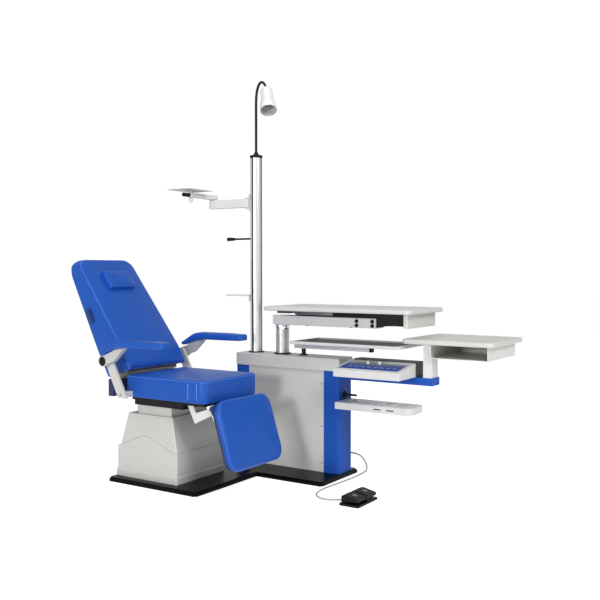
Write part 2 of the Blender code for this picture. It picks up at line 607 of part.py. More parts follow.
def build_right_side():
    box("side_arm", (0.8513, 0.535, 0.585), (1.430, 0.630, 0.627), "blue")
    slope = [(0.327, 0.628), (0.5347, 0.628), (0.5347, 0.705), (0.340, 0.674), (0.327, 0.668)]
    prism("panel_housing", slope, "YZ", 0.919, 1.330, "light", edge=0.002)
    box("panel_rear_housing", (0.935, 0.535, 0.6273), (1.335, 0.622, 0.712), "dark")
    tilt = Vector((0, -0.1572, 0.9876))
    knob = [(0, 0.013), (0.0065, 0.013), (0.0080, 0.011), (0.0090, 0), (0, 0)]
    for name, x in (("left", 1.063), ("right", 1.137)):
        foot = Vector((x, 0.474, 0.674 + 0.134 * 0.15922)) + tilt * 0.0004
        piece = turned("panel_knob_" + name, knob, "white", foot, tilt, 16)
        joint("panel_knob_turn_" + name, foot, piece)

    post = box("right_table_post", (1.372, 0.540, 0.6273), (1.422, 0.625, 0.8147), "light")
    top = prism("right_table_top", rounded(rectangle(1.258, 1.790, 0.490, 0.985), 0.030, 4), "XY",
                0.8150, 0.8420, "light", edge=0.007, segments=2)
    tray = box("right_table_box", (1.4225, 0.520, 0.739), (1.752, 0.950, 0.8147), "light")
    cut(tray, box("box_hollow", (1.4265, 0.50, 0.743), (1.748, 0.946, 0.83)))
    joint("right_table_swing", (RIGHT_POST_X, 0.5825, 0.6273), post, top, tray)

    shelf = prism("accessory_shelf", rounded(rectangle(0.8515, 1.335, 0.460, 0.645),
                                             [0.002, 0.040, 0.040, 0.002], 4), "XY",
                  0.420, 0.460, "light", edge=0.004, segments=2)
    well = prism("shelf_well", rounded(rectangle(0.910, 1.105, 0.510, 0.625), 0.012, 2), "XY",
                 0.440, 0.47)
    slots = [prism(f"shelf_slot_{i}", rounded(rectangle(x0, x1, y0, y1), 0.009, 2), "XY", 0.444,
                   0.47)
             for i, (x0, x1, y0, y1) in enumerate(((1.105, 1.160, 0.476, 0.500),
                                                   (1.205, 1.262, 0.476, 0.500),
                                                   (1.130, 1.185, 0.535, 0.620),
                                                   (1.205, 1.265, 0.535, 0.620)))]
    cut(shelf, well, *slots)
    hook = [(0, 0.083), (0.0050, 0.082), (0.0062, 0.078), (0.0070, 0.030), (0.0100, 0.012),
            (0.0180, 0.006), (0.0190, 0.004), (0.0190, 0), (0, 0)]
    turned("cable_hook", hook, "black", (0.8513, 0.575, 0.4900), (1, 0, 0), 20)


def build_foot_switch():
    gland = [(0, 0.0180), (0.0070, 0.0180), (0.0080, 0.0120), (0.0080, 0.0080), (0.0105, 0.0060),
             (0.0105, 0), (0, 0)]
    turned("cable_gland", gland, "black", (0.790, 0.6633, 0.118), (0, 1, 0), 16)
    points = [(0.790, 0.6820, 0.1180), (0.7904, 0.692, 0.1180), (0.798, 0.704, 0.1175),
              (0.814, 0.710, 0.1165), (0.838, 0.712, 0.1140), (0.853, 0.722, 0.1090),
              (0.867, 0.738, 0.0985), (0.880, 0.751, 0.0810), (0.891, 0.761, 0.0560),
              (0.898, 0.764, 0.0340), (0.902, 0.758, 0.0160), (0.905, 0.738, 0.0068),
              (0.908, 0.706, 0.0053), (0.915, 0.623, 0.0053), (0.916, 0.536, 0.0053),
              (0.911, 0.427, 0.0053), (0.903, 0.326, 0.0053), (0.903, 0.250, 0.0053),
              (0.917, 0.163, 0.0053), (0.948, 0.112, 0.0053), (0.999, 0.079, 0.0053),
              (1.050, 0.082, 0.0055), (1.080, 0.100, 0.0070), (1.1120, 0.112, 0.0080)]
    bent_rod("foot_cable", smooth_route(points, 0.020), 0.0048, "cable")

    base = prism("foot_switch_base", rounded(rectangle(1.130, 1.247, 0.033, 0.249), 0.008, 2),
                 "XY", 0, 0.012, "black", edge=0.002, top_only=True)
    join(base, box("switch_rib", (1.132, 0.1365, 0.006), (1.243, 0.1475, 0.0385)),
         rod("switch_gland", (1.115, 0.112, 0.0080), (1.140, 0.112, 0.0080), 0.0060))
    profile = [(1.140, 0.018), (1.236, 0.022), (1.240, 0.026), (1.239, 0.040), (1.165, 0.056),
               (1.143, 0.051), (1.140, 0.047)]
    for word, y0, y1 in (("near", 0.040, 0.134), ("far", 0.150, 0.244)):
        pedal = prism("foot_pedal_" + word, profile, "XZ", y0, y1, "black", edge=0.003)
        joint("pedal_hinge_" + word, (1.145, (y0 + y1) / 2, 0.020), pedal)


clear_scene()
UNIT = new_collection("refraction_unit")
CUTTERS = new_collection("cutters")
CUTTERS.hide_render = True
FINISHES = {
    "blue": material("blue_vinyl", (0.028, 0.103, 0.456), 0.35),
    "navy": material("navy_board", (0.012, 0.030, 0.130), 0.5),
    "grey": material("grey_enamel", (0.58, 0.58, 0.57), 0.45),
    "light": material("light_laminate", (0.64, 0.64, 0.62), 0.4),
    "white": material("white_enamel", (0.80, 0.80, 0.78), 0.35),
    "black": material("black_plastic", (0.010, 0.010, 0.010), 0.45),
    "dark": material("dark_housing", (0.020, 0.021, 0.022), 0.5),
    "base": material("black_gloss", (0.010, 0.010, 0.011), 0.18),
    "aluminium": material("aluminium", (0.70, 0.70, 0.71), 0.22, 1.0),
    "cable": material("cable_jacket", (0.35, 0.35, 0.35), 0.5),
    "bulb": material("bulb_glass", (0.85, 0.84, 0.78), 0.2),
}
chair_lift = build_pedestal()
chair_swivel = build_seat(chair_lift)
build_backrest(chair_swivel)
build_armrests(chair_swivel)
build_legrest(chair_swivel)
build_cabinet()
build_lamp()
build_projector()
build_instrument_table()
build_tray()
build_right_side()
build_foot_switch()
bpy.context.view_layer.update()
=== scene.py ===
# Looks of the ophthalmic examination unit: upholstery, surface finishes, small hardware,
# the foot-switch cable, a pale studio and the camera. All sizes are in metres.

import json
from math import cos, pi, radians, sin

import bmesh
import bpy
from mathutils import Matrix, Vector, noise


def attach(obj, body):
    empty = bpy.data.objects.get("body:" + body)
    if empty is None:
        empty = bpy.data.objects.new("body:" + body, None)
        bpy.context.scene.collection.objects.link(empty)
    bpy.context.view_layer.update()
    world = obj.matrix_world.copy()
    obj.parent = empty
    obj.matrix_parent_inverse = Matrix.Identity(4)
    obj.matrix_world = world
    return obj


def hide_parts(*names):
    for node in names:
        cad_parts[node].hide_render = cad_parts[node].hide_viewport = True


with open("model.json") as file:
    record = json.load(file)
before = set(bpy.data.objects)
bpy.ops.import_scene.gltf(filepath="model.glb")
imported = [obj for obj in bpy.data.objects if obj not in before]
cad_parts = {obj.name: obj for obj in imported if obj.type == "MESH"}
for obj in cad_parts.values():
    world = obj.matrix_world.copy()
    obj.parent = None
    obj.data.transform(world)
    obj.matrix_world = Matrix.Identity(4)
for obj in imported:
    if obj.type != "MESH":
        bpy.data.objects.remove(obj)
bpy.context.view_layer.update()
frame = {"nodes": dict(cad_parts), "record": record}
NODES = frame["nodes"]

SIDES = ((-1, "near"), (1, "far"))      # the chair's two sides, as signs of Y
COLUMN = (0.1985, 0.590)                # axis of the instrument column, in XY
TABLE_LIFT = (0.3985, 0.590)            # axis of the instrument table's lift, in XY
ARMREST_PIVOT = (-0.180, 0.3613, 0.710)  # outer face of the far armrest's pivot
BACK_LOW = (-0.1400, 0.7680)            # the backrest's straight front, in XZ
BACK_HIGH = (-0.4930, 1.2300)
LAMP_TIP = (0.3180, 0.5300, 2.3423)     # end of the gooseneck, where the shade begins
LAMP_AXIS = (0.373, -0.388, -0.842)
CABLE_RADIUS = 0.0048
SHARP_EDGE = 0.6                        # radians between faces that get a rounded edge


# ---------------------------------------------------------------- camera

def add_camera():
    data = bpy.data.cameras.new("camera")
    data.lens = 50.24
    data.sensor_width = 36
    camera = bpy.data.objects.new("camera", data)
    camera.location = (3.318, -3.694, 1.220)
    camera.rotation_euler = (radians(90 - 2.0075), 0, radians(33.08))
    bpy.context.scene.collection.objects.link(camera)
    bpy.context.scene.camera = camera


# ---------------------------------------------------------------- materials

def linear(*levels):
    """0-255 display colour levels as a linear colour."""
    return tuple((c / 255 / 12.92) if c < 10 else ((c / 255 + 0.055) / 1.055) ** 2.4
                 for c in levels)


def finish(name, colour, roughness, shade=0.05, shade_scale=5, spread=0.06, grain="NOISE",
           grain_scale=300, bump=0.05, depth=0.0004, stretch=(1, 1, 1), metallic=0.0,
           coat=0.0, coat_roughness=0.1, specular=0.5, painted_shade_and_highlight=0.0):
    """A procedural material: broad tint changes, uneven gloss and a fine surface grain."""
    mat = bpy.data.materials.new(name)
    mat.use_nodes = True
    tree = mat.node_tree
    add, link = tree.nodes.new, tree.links.new
    shader = tree.nodes["Principled BSDF"]
    shader.inputs["Metallic"].default_value = metallic
    shader.inputs["Coat Weight"].default_value = coat
    shader.inputs["Coat Roughness"].default_value = coat_roughness
    shader.inputs["Specular IOR Level"].default_value = specular

    where = add("ShaderNodeTexCoord")
    scaled = add("ShaderNodeMapping")
    scaled.inputs["Scale"].default_value = stretch
    link(where.outputs["Object"], scaled.inputs["Vector"])

    broad = add("ShaderNodeTexNoise")
    broad.inputs["Scale"].default_value = shade_scale
    broad.inputs["Detail"].default_value = 4
    link(scaled.outputs["Vector"], broad.inputs["Vector"])
    tints = add("ShaderNodeValToRGB")
    dark = [c * (1 - shade) for c in colour]
    light = [min(1.0, c * (1 + 0.6 * shade)) for c in colour]
    tints.color_ramp.elements[0].position = 0.3
    tints.color_ramp.elements[0].color = (*dark, 1)
    tints.color_ramp.elements[1].position = 0.7
    tints.color_ramp.elements[1].color = (*light, 1)
    link(broad.outputs["Fac"], tints.inputs["Fac"])
    colour_out = tints.outputs["Color"]
    if painted_shade_and_highlight:
        # Painted shade darkens the hollows and a painted highlight lightens the edges, by the
        # mesh's pointiness.
        edge = add("ShaderNodeNewGeometry")
        hollow_shade_edge_light = add("ShaderNodeMapRange")
        hollow_shade_edge_light.inputs["From Min"].default_value = 0.46
        hollow_shade_edge_light.inputs["From Max"].default_value = 0.54
        hollow_shade_edge_light.inputs["To Min"].default_value = 1 - painted_shade_and_highlight
        hollow_shade_edge_light.inputs["To Max"].default_value = 1 + painted_shade_and_highlight
        link(edge.outputs["Pointiness"], hollow_shade_edge_light.inputs["Value"])
        scale = add("ShaderNodeVectorMath")
        scale.operation = "SCALE"
        link(colour_out, scale.inputs[0])
        link(hollow_shade_edge_light.outputs["Result"], scale.inputs["Scale"])
        colour_out = scale.outputs["Vector"]
    link(colour_out, shader.inputs["Base Color"])

    patches = add("ShaderNodeTexNoise")
    patches.inputs["Scale"].default_value = 37
    patches.inputs["Detail"].default_value = 3
    link(scaled.outputs["Vector"], patches.inputs["Vector"])
    gloss = add("ShaderNodeMapRange")
    gloss.inputs["To Min"].default_value = roughness - spread
    gloss.inputs["To Max"].default_value = roughness + spread
    link(patches.outputs["Fac"], gloss.inputs["Value"])
    link(gloss.outputs["Result"], shader.inputs["Roughness"])

    if grain == "LEATHER":
        cells = add("ShaderNodeTexVoronoi")
        cells.feature = "DISTANCE_TO_EDGE"
        cells.inputs["Scale"].default_value = grain_scale
        height = cells.outputs["Distance"]
    else:
        cells = add("ShaderNodeTexNoise")
        cells.inputs["Scale"].default_value = grain_scale
        cells.inputs["Detail"].default_value = 5
        height = cells.outputs["Fac"]
    link(scaled.outputs["Vector"], cells.inputs["Vector"])
    relief = add("ShaderNodeBump")
    relief.inputs["Strength"].default_value = bump
    relief.inputs["Distance"].default_value = depth
    link(height, relief.inputs["Height"])
    link(relief.outputs["Normal"], shader.inputs["Normal"])
    return mat


BLUE = linear(29, 86, 180)
# Some finishes below darken their hollows and lighten their edges: painted shade and painted
# highlight.
LOOKS = {
    "blue_vinyl": dict(colour=BLUE, roughness=0.36, shade=0.06, grain="LEATHER", grain_scale=520,
                       bump=0.22, depth=0.0005, coat=0.05, coat_roughness=0.2, specular=0.2),
    # A lighter blue for the welts and the seat's corner ridges: painted highlight along the
    # edges.
    "welt_painted_highlight": dict(colour=linear(74, 126, 226), roughness=0.32, shade=0.08, grain="LEATHER",
                      grain_scale=700, bump=0.2, coat=0.25),
    "blue_enamel": dict(colour=linear(28, 80, 170), roughness=0.45, shade=0.05, grain_scale=420,
                        bump=0.06, specular=0.14, painted_shade_and_highlight=0.08),
    "navy_board": dict(colour=linear(28, 40, 92), roughness=0.5, shade=0.08, grain="LEATHER",
                       grain_scale=480, bump=0.2),
    "grey_enamel": dict(colour=linear(203, 202, 198), roughness=0.42, shade=0.03, shade_scale=3,
                        grain_scale=380, bump=0.10, coat=0.15, coat_roughness=0.3, painted_shade_and_highlight=0.05),
    "grey_trim": dict(colour=linear(198, 198, 194), roughness=0.4, shade=0.03, grain_scale=360,
                      bump=0.08, painted_shade_and_highlight=0.06),
    "light_enamel": dict(colour=linear(220, 220, 217), roughness=0.36, shade=0.03,
                         grain_scale=380, bump=0.08, coat=0.2, painted_shade_and_highlight=0.05),
    "light_laminate": dict(colour=linear(212, 212, 208), roughness=0.42, shade=0.035,
                           shade_scale=14, grain_scale=900, bump=0.10, coat=0.15,
                           coat_roughness=0.35),
    "light_plastic": dict(colour=linear(214, 214, 212), roughness=0.36, shade=0.03,
                          grain_scale=650, bump=0.12, coat=0.1, painted_shade_and_highlight=0.05),
    "white_enamel": dict(colour=linear(232, 232, 229), roughness=0.32, shade=0.02,
                         grain_scale=300, bump=0.01, coat=0.3),
    "white_plastic": dict(colour=linear(236, 236, 233), roughness=0.3, shade=0.02,
                          grain_scale=800, bump=0.06, coat=0.3),
    "black_plastic": dict(colour=linear(9, 9, 9), roughness=0.45, shade=0.15, grain_scale=900,
                          bump=0.18, specular=0.2),
    "black_metal": dict(colour=linear(14, 14, 15), roughness=0.42, shade=0.12, grain_scale=420,
                        bump=0.10, specular=0.3),
    "black_frame": dict(colour=linear(12, 12, 13), roughness=0.5, shade=0.15, grain_scale=420,
                        bump=0.12, specular=0.25),
    "black_rubber": dict(colour=linear(16, 16, 17), roughness=0.5, shade=0.12, grain_scale=900,
                         bump=0.2, specular=0.3),
    "dark_plastic": dict(colour=linear(56, 57, 58), roughness=0.5, shade=0.10, grain_scale=800,
                         bump=0.2),
    "base_gloss": dict(colour=linear(5, 5, 5), roughness=0.3, shade=0.15, spread=0.05,
                       grain_scale=340, bump=0.04, specular=0.08),
    "mat_rubber": dict(colour=linear(88, 88, 88), roughness=0.62, shade=0.10, shade_scale=20,
                       grain="LEATHER", grain_scale=900, bump=0.35),
    "polished_aluminium": dict(colour=linear(226, 226, 225), roughness=0.28, shade=0.02,
                               spread=0.01, grain_scale=260, bump=0.0, metallic=1.0,
                               stretch=(1, 1, 0.02)),
    "satin_aluminium": dict(colour=linear(204, 204, 202), roughness=0.45, shade=0.05,
                            grain_scale=600, bump=0.01, metallic=0.85, stretch=(1, 1, 0.05)),
    "rail_steel": dict(colour=linear(112, 113, 114), roughness=0.4, shade=0.10, grain_scale=500,
                       bump=0.1, metallic=0.5),
    "chrome": dict(colour=linear(236, 236, 238), roughness=0.08, shade=0.03, spread=0.02,
                   grain_scale=200, bump=0.01, metallic=1.0),
    "steel_screw": dict(colour=linear(176, 178, 180), roughness=0.3, shade=0.08, grain_scale=900,
                        bump=0.1, metallic=1.0),
    "cable_jacket": dict(colour=linear(172, 172, 169), roughness=0.45, shade=0.05,
                         grain_scale=700, bump=0.05),
    # The bulb is painted mid grey: painted shade, as it sits deep inside the lamp shade.
    "bulb_glass": dict(colour=linear(150, 149, 145), roughness=0.25, shade=0.03, grain_scale=200,
                       bump=0.02, coat=0.4),
    "membrane_blue": dict(colour=linear(26, 66, 160), roughness=0.42, shade=0.05,
                          grain_scale=1200, bump=0.10, coat=0.05, specular=0.25),
    "membrane_strip": dict(colour=linear(118, 132, 134), roughness=0.4, shade=0.05,
                           grain_scale=1200, bump=0.10),
    "print_pale": dict(colour=linear(188, 204, 226), roughness=0.4, shade=0.04, grain_scale=900,
                       bump=0.05),
    # A darker copy of the grey trim for the backrest frame: painted shade under the backrest.
    "frame_grey_painted_shade": dict(colour=linear(132, 134, 128), roughness=0.5, shade=0.05, grain_scale=380,
                       bump=0.10, specular=0.3),
    # A grey for the sheet inside the lamp shade: painted shade.
    "lamp_inside_painted_shade": dict(colour=linear(196, 196, 193), roughness=0.5, shade=0.04, grain_scale=300,
                        bump=0.05),
    "grey_label": dict(colour=linear(112, 114, 114), roughness=0.4, shade=0.06, grain_scale=900,
                       bump=0.08),
}
MATS = {name: finish(name, **look) for name, look in LOOKS.items()}


# ---------------------------------------------------------------- mesh helpers

def add_piece(name, data, body, slot, mat=None):
    obj = bpy.data.objects.new(name, data)
    bpy.context.scene.collection.objects.link(obj)
    data.materials.clear()
    data.materials.append(MATS[mat or slot])
    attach(obj, body)
    return obj


def smooth_by_angle(obj, degrees=35):
    obj.data.shade_smooth()
    obj.data.set_sharp_from_angle(angle=radians(degrees))


def soften_edges(obj, width):
    bevel = obj.modifiers.new("edge", "BEVEL")
    bevel.width = width
    bevel.segments = 2
    bevel.limit_method = "ANGLE"
    bevel.angle_limit = radians(32)
    bevel.use_clamp_overlap = True
    bevel.harden_normals = True


def mesh_from(bm, name):
    bm.normal_update()
    bmesh.ops.recalc_face_normals(bm, faces=bm.faces)
    mesh = bpy.data.meshes.new(name)
    bm.to_mesh(mesh)
    bm.free()
    return mesh


def slab(name, low, high, body, slot, mat=None, edge=0.0015, corner=0.0):
    """A block with rounded edges, and rounded upright corners when corner is given."""
    low, high = Vector(low), Vector(high)
    bm = bmesh.new()
    place = Matrix.Translation((low + high) / 2) @ Matrix.Diagonal((*(high - low), 1))
    bmesh.ops.create_cube(bm, size=1, matrix=place)
    if corner:
        upright = [e for e in bm.edges if abs(e.verts[0].co.z - e.verts[1].co.z) > 1e-6]
        bmesh.ops.bevel(bm, geom=upright, offset=corner, segments=5, profile=0.5, affect="EDGES")
    sharp = [e for e in bm.edges if len(e.link_faces) == 2 and e.calc_face_angle(0) > SHARP_EDGE]
    bmesh.ops.bevel(bm, geom=sharp, offset=edge, segments=2, profile=0.5, affect="EDGES")
    obj = add_piece(name, mesh_from(bm, name), body, slot, mat)
    smooth_by_angle(obj)
    return obj


def plate(name, size, centre, along_x, out_z, body, slot, mat=None, corner=0.0, edge=0.0005):
    """A thin slab on a sloping face: its length runs along_x and its outer side faces out_z."""
    length, width, height = size
    obj = slab(name, (-length / 2, -width / 2, 0), (length / 2, width / 2, height), body, slot,
               mat, edge=edge, corner=corner)
    z = Vector(out_z).normalized()
    x = Vector(along_x).normalized()
    y = z.cross(x)
    turn = Matrix((x, y, z)).transposed().to_4x4()
    obj.data.transform(Matrix.Translation(centre) @ turn)
    return obj


def strut(name, outline, y0, y1, body, slot, mat=None, edge=0.001):
    """A flat bar: an outline in XZ with a thickness along Y."""
    bm = bmesh.new()
    face = bm.faces.new([bm.verts.new((x, y0, z)) for x, z in outline])
    extruded = bmesh.ops.extrude_face_region(bm, geom=[face])["geom"]
    moved = [v for v in extruded if isinstance(v, bmesh.types.BMVert)]
    bmesh.ops.translate(bm, verts=moved, vec=(0, y1 - y0, 0))
    bmesh.ops.recalc_face_normals(bm, faces=bm.faces)
    sharp = [e for e in bm.edges if len(e.link_faces) == 2 and e.calc_face_angle(0) > SHARP_EDGE]
    bmesh.ops.bevel(bm, geom=sharp, offset=edge, segments=2, profile=0.5, affect="EDGES")
    obj = add_piece(name, mesh_from(bm, name), body, slot, mat)
    smooth_by_angle(obj)
    return obj


def turned(name, profile, origin, axis, body, slot, mat=None, steps=40):
    """A (radius, height) profile spun round the axis at origin."""
    bm = bmesh.new()
    verts = [bm.verts.new((r, 0, h)) for r, h in profile]
    edges = [bm.edges.new(pair) for pair in zip(verts, verts[1:])]
    bmesh.ops.spin(bm, geom=verts + edges, cent=(0, 0, 0), axis=(0, 0, 1), angle=2 * pi,
                   steps=steps, use_duplicate=False)
    bmesh.ops.remove_doubles(bm, verts=bm.verts, dist=1e-6)
    turn = Vector((0, 0, 1)).rotation_difference(Vector(axis)).to_matrix().to_4x4()
    bm.transform(Matrix.Translation(origin) @ turn)
    obj = add_piece(name, mesh_from(bm, name), body, slot, mat)
    smooth_by_angle(obj, 30)
    return obj


def screw_head(name, where, axis, radius, body, slot="black_plastic", mat=None):
    """A domed cap screw with a round drive recess."""
    r = radius
    profile = [(0, 0.22 * r), (0.38 * r, 0.22 * r), (0.42 * r, 0.50 * r), (0.75 * r, 0.46 * r),
               (0.95 * r, 0.30 * r), (r, 0.12 * r), (r, 0), (0, 0)]
    return turned(name, profile, where, axis, body, slot, mat, 24)


def tube(name, points, radius, body, slot, mat=None, cyclic=False, sides=3):
    curve = bpy.data.curves.new(name, "CURVE")
    curve.dimensions = "3D"
    curve.bevel_depth = radius
    curve.bevel_resolution = sides
    curve.use_fill_caps = not cyclic
    spline = curve.splines.new("POLY")
    spline.points.add(len(points) - 1)
    for point, where in zip(spline.points, points):
        point.co = (*where, 1.0)
    spline.use_cyclic_u = cyclic
    spline.use_smooth = True
    return add_piece(name, curve, body, slot, mat)


def catmull_rom(points, spacing):
    """Points about one spacing apart on a smooth curve through the given ones."""
    route = []
    padded = [points[0], *points, points[-1]]
    for i in range(1, len(padded) - 2):
        p0, p1, p2, p3 = (Vector(p) for p in padded[i - 1:i + 3])
        count = max(1, round((p2 - p1).length / spacing))
        for step in range(count):
            t = step / count
            route.append(0.5 * (2 * p1 + (p2 - p0) * t + (2 * p0 - 5 * p1 + 4 * p2 - p3) * t ** 2
                                + (3 * p1 - p0 - 3 * p2 + p3) * t ** 3))
    route.append(Vector(points[-1]))
    return route


def along(polyline, fraction):
    """The point this fraction of the way along a polyline."""
    points = [Vector(p) for p in polyline]
    lengths = [(b - a).length for a, b in zip(points, points[1:])]
    left = fraction * sum(lengths)
    for a, b, length in zip(points, points[1:], lengths):
        if left <= length:
            return a.lerp(b, left / length)
        left -= length
    return points[-1]


# ---------------------------------------------------------------- upholstery

def pad_outline(length, half_low, half_high, r_low, r_high, spacing=0.022):
    """A rounded outline, its width changing from half_low to half_high along its length."""
    corners = [(r_low, -half_low + r_low, r_low, 180, 270),
               (length - r_high, -half_high + r_high, r_high, 270, 360),
               (length - r_high, half_high - r_high, r_high, 0, 90),
               (r_low, half_low - r_low, r_low, 90, 180)]
    arcs = []
    for a, y, r, start, end in corners:
        arcs.append([Vector((a + r * cos(radians(start + (end - start) * i / 7)),
                             y + r * sin(radians(start + (end - start) * i / 7))))
                     for i in range(8)])
    points = []
    for one, two in zip(arcs, arcs[1:] + arcs[:1]):
        points += one
        gap = (two[0] - one[-1]).length
        count = max(1, round(gap / spacing))
        points += [one[-1].lerp(two[0], i / count) for i in range(1, count)]
    return points


def upholstered(name, front, back, half_low, half_high, r_low, r_high, body, node, middle_y=0.0,
                crown=0.012, edge=0.014, back_edge=0.006, bulge=0.003, welt=0.0016,
                waviness=0.0010, seed=0.0):
    """A foam cushion between two XZ lines, its front crowned and its edge sewn with a welt.

    front and back run the same way, so that the line between them at one fraction crosses
    the cushion. The outline is drawn along the front line and across Y.
    """
    length = sum((Vector(b) - Vector(a)).length for a, b in zip(front, front[1:]))
    outline = pad_outline(length, half_low, half_high, r_low, r_high)
    middle = Vector((length / 2, 0))
    count = len(outline)
    normals = []
    for i, here in enumerate(outline):
        side = outline[(i + 1) % count] - outline[i - 1]
        normals.append(Vector((side.y, -side.x)).normalized())

    def place(flat, t, lift=0.0):
        u = min(max(flat.x / length, 0.0), 1.0)
        near, far = along(back, u), along(front, u)
        across = far - near
        at = near + across * t + across.normalized() * lift
        return Vector((at.x, middle_y + flat.y, at.y))

    thickness = (along(front, 0.5) - along(back, 0.5)).length
    rings = []
    # The flat back, then its rounded edge, then the sides
    for s in (0.35, 0.75):
        rings.append([place(middle + (p - middle) * s, 0) for p in outline])
    for i in range(3):
        angle = radians(15 + 37.5 * i)
        inset = back_edge * (1 - sin(angle))
        t = back_edge / thickness * (1 - cos(angle))
        rings.append([place(p - n * inset, t) for p, n in zip(outline, normals)])
    for t in (0.30, 0.50, 0.70):
        rings.append([place(p + n * bulge * sin(pi * t) * (0.6 + 0.4 * sin(9 * p.x + 7 * p.y)), t)
                      for p, n in zip(outline, normals)])
    # The rounded front edge, with the welt on its second ring
    seam = []
    for i in range(5):
        angle = radians(90 * i / 4)
        inset = edge * (1 - cos(angle))
        t = 1 - edge / thickness * (1 - sin(angle))
        ring = [place(p - n * inset, t) for p, n in zip(outline, normals)]
        rings.append(ring)
        if i == 1:
            seam = [place(p - n * (inset - 0.0002), t) for p, n in zip(outline, normals)]
    # The crowned front, slightly uneven
    for s in (0.90, 0.80, 0.66, 0.50, 0.34, 0.18):
        ring = []
        for p, n in zip(outline, normals):
            flat = middle + (p - n * edge - middle) * s
            ripple = noise.noise(Vector((flat.x * 7, flat.y * 7, seed))) * waviness
            ring.append(place(flat, 1, crown * (1 - s ** 3) + ripple))
        rings.append(ring)

    bm = bmesh.new()
    loops = [[bm.verts.new(p) for p in ring] for ring in rings]
    for one, two in zip(loops, loops[1:]):
        for i in range(count):
            j = (i + 1) % count
            bm.faces.new((one[i], one[j], two[j], two[i]))
    for ring, at in ((loops[0], place(middle, 0)), (loops[-1], place(middle, 1, crown))):
        centre = bm.verts.new(at)
        for i in range(count):
            bm.faces.new((ring[i], ring[(i + 1) % count], centre))
    piece = add_piece(name, mesh_from(bm, name), body, "blue_vinyl")
    piece.data.shade_smooth()
    smoother = piece.modifiers.new("smooth", "SUBSURF")
    smoother.levels = 1
    smoother.render_levels = 1
    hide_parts(node)
    if welt:
        # The welt is real piping, drawn in the lighter blue: painted highlight along the
        # cushion's edge.
        tube(name + "_welt", seam, welt, body, "blue_vinyl", "welt_painted_highlight", cyclic=True)
    return piece


def add_upholstery():
    upholstered("seat_pad", [(-0.112, 0.6265), (0.461, 0.6265)],
                [(-0.112, 0.500), (0.461, 0.500)],
                0.2425, 0.2425, 0.012, 0.042, "seat", "seat_cushion", crown=0.012, edge=0.013,
                seed=1.0)
    front = [(-0.1390, 0.6470), (-0.0900, 0.6530), (-0.0790, 0.6630), BACK_LOW, BACK_HIGH,
             (-0.5310, 1.2850)]
    back = [(-0.2600, 0.5985), (-0.3550, 0.7550), (-0.5850, 1.1900), (-0.5930, 1.2450),
            (-0.5760, 1.2830)]
    upholstered("backrest_pad", front, back, 0.242, 0.2215, 0.014, 0.070, "backrest",
                "backrest_cushion", crown=0.012, edge=0.016, seed=2.0)
    slope = (Vector(BACK_HIGH) - Vector(BACK_LOW)).normalized()
    out = Vector((slope.y, -slope.x))
    foot = Vector(BACK_LOW) + slope * 0.4185
    head = foot + slope * 0.124
    upholstered("pillow_pad", [foot + out * 0.040, head + out * 0.040],
                [foot + out * 0.003, head + out * 0.003], 0.105, 0.105, 0.012, 0.012, "backrest",
                "head_pillow", crown=0.006, edge=0.010, bulge=0.002, seed=3.0, welt=0.0)
    top = Vector((0.545, 0.525))
    down = Vector((0.3005, -0.9538))
    face = Vector((0.9538, 0.3005))
    end = top + down * 0.3827
    upholstered("legrest_pad", [top - face * 0.003, end - face * 0.003],
                [top - face * 0.0427, end - face * 0.0427], 0.240, 0.240, 0.072, 0.072, "legrest",
                "legrest_cushion", crown=0.008, edge=0.019, seed=4.0, waviness=0.0006)
    for side, word in SIDES:
        upholstered("armrest_pad_cover_" + word,
                    [(-0.188, 0.768), (-0.128, 0.804), (-0.090, 0.828), (-0.035, 0.8355),
                     (0.288, 0.8350)],
                    [(-0.168, 0.752), (-0.110, 0.776), (-0.070, 0.792), (-0.017, 0.7935),
                     (0.288, 0.7960)], 0.040, 0.040, 0.008, 0.020, "armrest_" + word,
                    "armrest_pad_" + word, middle_y=side * 0.345, crown=0.004, edge=0.012,
                    back_edge=0.010, bulge=0.001, welt=0.0, seed=5.0 + side)


add_camera()
CABLE = [(0.790, 0.6820, 0.1180), (0.7904, 0.692, 0.1180), (0.798, 0.704, 0.1175),
         (0.814, 0.710, 0.1165), (0.838, 0.712, 0.1140), (0.853, 0.722, 0.1090),
         (0.867, 0.738, 0.0985), (0.880, 0.751, 0.0810), (0.891, 0.761, 0.0560),
         (0.898, 0.764, 0.0340), (0.902, 0.758, 0.0160), (0.905, 0.738, 0.0068),
         (0.908, 0.706, 0.0053), (0.915, 0.623, 0.0053), (0.916, 0.536, 0.0053),
         (0.911, 0.427, 0.0053), (0.903, 0.326, 0.0053), (0.903, 0.250, 0.0053),
         (0.917, 0.163, 0.0053), (0.948, 0.112, 0.0053), (0.999, 0.079, 0.0053),
         (1.050, 0.082, 0.0055), (1.080, 0.100, 0.0070), (1.1120, 0.112, 0.0080)]


def add_cable():
    route = catmull_rom(CABLE, 0.008)
    cable = tube("switch_cable", route, CABLE_RADIUS, "stand", "cable_jacket", sides=4)
    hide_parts("foot_cable")


add_cable()
add_upholstery()


# ---------------------------------------------------------------- finishes on the CAD parts

def finish_cad():
    slot_of = {part["node"]: part["material_slot"] for part in frame["record"]["subparts"]}
    fine = {"panel_knob_left", "panel_knob_right", "lamp_shade", "lamp_bulb", "gooseneck",
            "cable_hook", "column_lever", "projector_knob", "cable_gland", "column_top_cap",
            "instrument_column"}
    # The backrest frame gets a darker copy of its grey trim finish: painted shade under the
    # backrest.
    shaded_copies = {"backrest_frame": "frame_grey_painted_shade"}
    for name, obj in NODES.items():
        obj.data.materials.clear()
        obj.data.materials.append(MATS[shaded_copies.get(name, slot_of[name])])
        smooth_by_angle(obj, 32)
        if name not in fine:
            soften_edges(obj, 0.0016)


finish_cad()


# ---------------------------------------------------------------- small hardware

